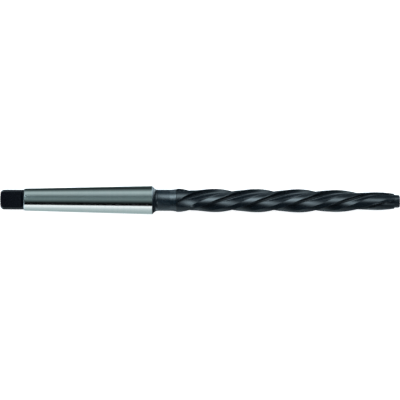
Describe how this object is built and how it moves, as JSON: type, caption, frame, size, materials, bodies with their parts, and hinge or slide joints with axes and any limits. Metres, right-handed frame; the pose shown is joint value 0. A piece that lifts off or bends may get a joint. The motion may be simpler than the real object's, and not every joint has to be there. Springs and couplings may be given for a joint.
{
  "type": "rivet hole reamer",
  "caption": "Slim steel reamer with a taper shank, a short neck and a spiral-fluted body that ends in a tapered lead, for opening out rivet and bolt holes.",
  "frame": {"origin": "on the tool's axis, in the gauge plane of the taper shank", "axes": "+X along the axis from the tang to the cutting tip, +Y across the tool parallel to the flats of the tang, +Z square to those flats"},
  "size_m": [0.171, 0.0122, 0.0122],
  "materials": {
    "tool_steel": "fine ground and bright on the taper shank and the lands, black oxide on the tang, neck, flutes and nose"
  },
  "bodies": {
    "root": {"reamer": "tool_steel"}
  },
  "joints": []
}
